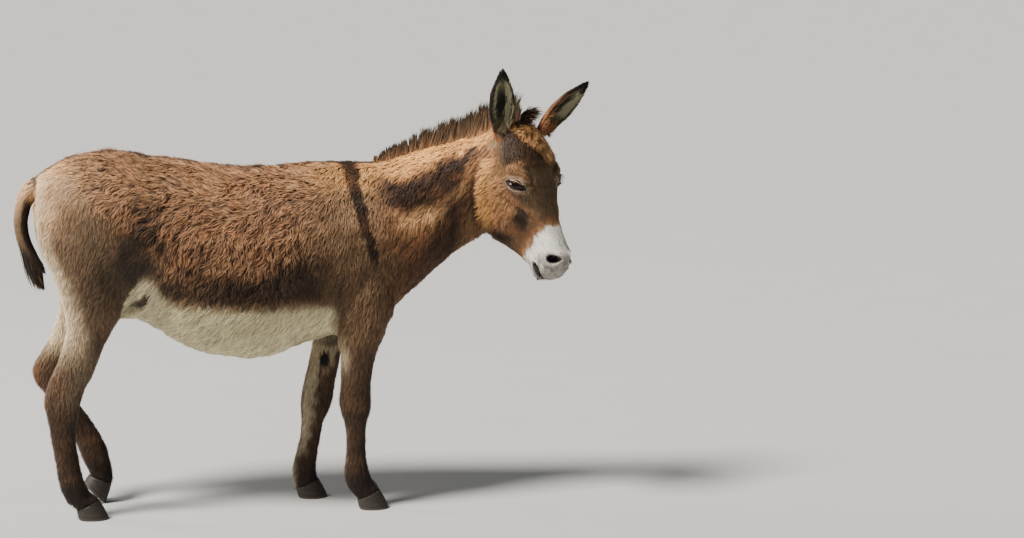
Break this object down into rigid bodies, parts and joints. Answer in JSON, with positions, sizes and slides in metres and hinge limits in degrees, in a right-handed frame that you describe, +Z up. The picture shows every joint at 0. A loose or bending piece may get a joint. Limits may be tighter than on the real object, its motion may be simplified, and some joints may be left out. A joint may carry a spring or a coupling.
{
  "type": "donkey",
  "caption": "Life-size standing donkey with its head turned to one side, an upright mane, a shoulder stripe and one hind leg resting.",
  "frame": {"origin": "bottom centre of the whole animal's bounding box, on the ground", "axes": "+Z up, +X from the tail to the chest, +Y to the animal's left; the head is turned towards -Y"},
  "size_m": [1.8074, 0.5094, 1.3989],
  "materials": {
    "coat": "matt brown hair, pale belly and muzzle",
    "long_hair": "coarse dark mane and tail hair",
    "horn": "dull grey horn",
    "eye": "wet and glossy"
  },
  "bodies": {
    "root": {"ear_left": "coat", "ear_right": "coat", "eye_left": "eye", "eye_right": "eye", "fore_hoof_left": "horn", "fore_hoof_right": "horn", "foreleg_left": "coat", "foreleg_right": "coat", "forelock": "long_hair", "head": "coat", "hind_hoof_left": "horn", "hind_hoof_right": "horn", "hindleg_left": "coat", "hindleg_right": "coat", "mane": "long_hair", "neck": "coat", "tail": "long_hair", "torso": "coat"}
  },
  "joints": []
}
